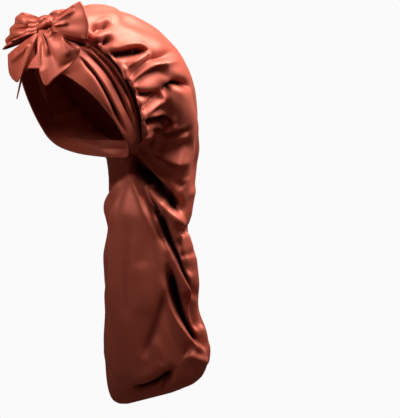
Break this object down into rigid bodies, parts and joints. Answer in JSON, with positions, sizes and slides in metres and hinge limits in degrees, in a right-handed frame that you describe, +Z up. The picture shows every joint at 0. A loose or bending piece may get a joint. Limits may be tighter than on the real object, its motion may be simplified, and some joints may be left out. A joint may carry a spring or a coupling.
{
  "type": "satin sleep bonnet with tie band",
  "caption": "Long satin sleep bonnet as worn: gathered crown and hanging closed hair bag on a wide stretch band tied in a forehead bow.",
  "frame": {"origin": "middle of the head opening, where the wearer's head sits", "axes": "+Z up, the wearer faces -Y, +X is the wearer's left"},
  "size_m": [0.1953, 0.2623, 0.5109],
  "materials": {
    "bag_satin": "glossy rust satin",
    "band_satin": "rust stretch satin, a little duller than the bag"
  },
  "bodies": {
    "root": {"bag": "bag_satin", "headband": "band_satin", "bow_knot": "band_satin", "bow_loop_left": "band_satin", "bow_loop_right": "band_satin", "bow_tail_left": "band_satin", "bow_tail_right": "band_satin"}
  },
  "joints": []
}
